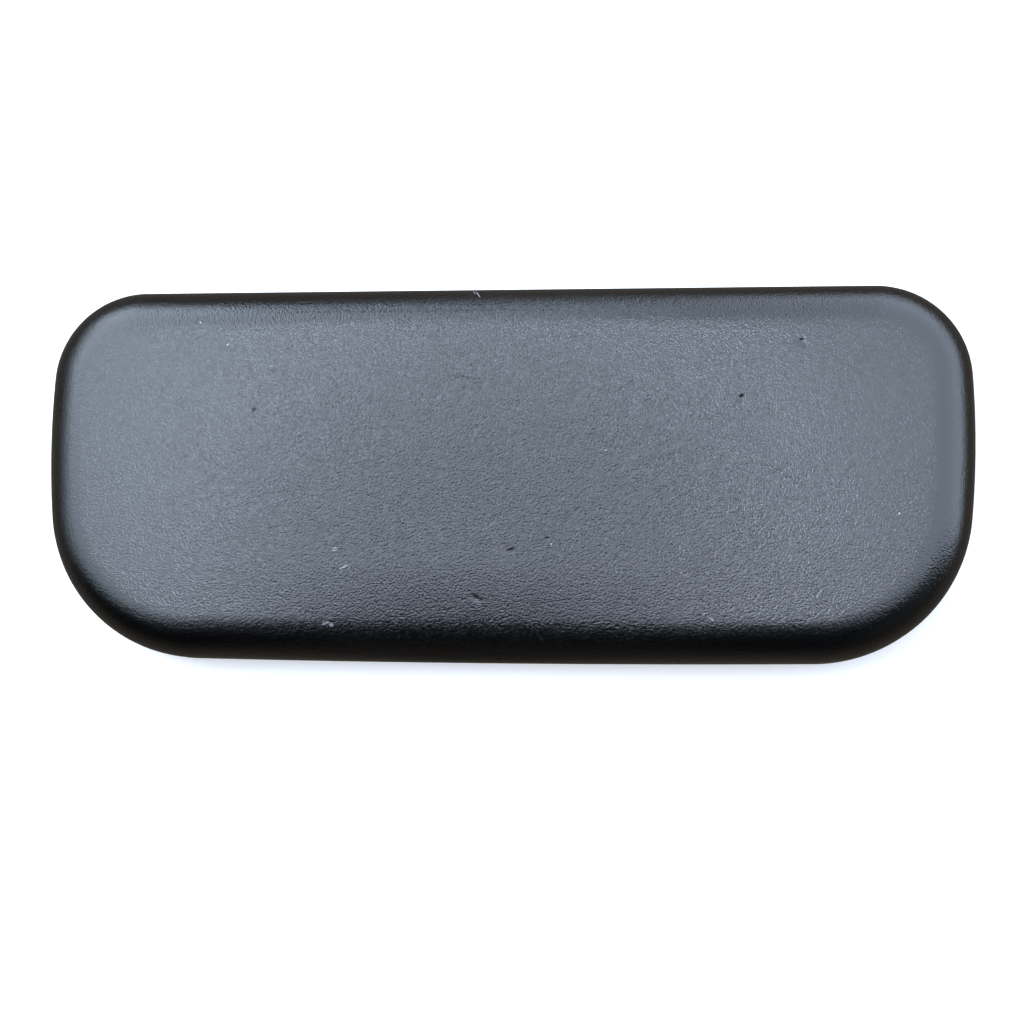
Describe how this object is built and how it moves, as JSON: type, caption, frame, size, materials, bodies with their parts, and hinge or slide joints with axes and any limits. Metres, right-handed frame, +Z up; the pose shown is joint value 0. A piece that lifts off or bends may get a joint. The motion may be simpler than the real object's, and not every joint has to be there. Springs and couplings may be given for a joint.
{
  "type": "chair armrest pad",
  "caption": "Padded rest for one arm of a chair: grained skin over foam on a ribbed carrier, with threaded nuts below.",
  "frame": {"origin": "middle of the pad's box, on the face that seats on the chair's arm", "axes": "+X along the arm to one end (the ends are alike), +Y to the sitter's side, +Z up"},
  "size_m": [0.254, 0.1024, 0.028],
  "materials": {
    "skin": "black self-skinned polyurethane with a fine leather grain, satin, lightly scuffed",
    "foam": "dark grey flexible polyurethane foam, open cells",
    "carrier": "black glass-filled nylon, matt",
    "tray": "black moulded plastic, fine spark texture",
    "nut": "bright zinc plate",
    "cap": "natural polythene, milky",
    "screw": "zinc plate"
  },
  "bodies": {
    "root": {"pad_skin": "skin", "foam_core": "foam", "carrier": "carrier", "bottom_tray": "tray", "tee_nut_front_inner": "nut", "tee_nut_front_outer": "nut", "tee_nut_rear_inner": "nut", "tee_nut_rear_outer": "nut", "nut_cap_front_inner": "cap", "nut_cap_front_outer": "cap", "nut_cap_rear_inner": "cap", "nut_cap_rear_outer": "cap", "tray_screw_front_inner": "screw", "tray_screw_front_outer": "screw", "tray_screw_middle_inner": "screw", "tray_screw_middle_outer": "screw", "tray_screw_rear_inner": "screw", "tray_screw_rear_outer": "screw"}
  },
  "joints": []
}
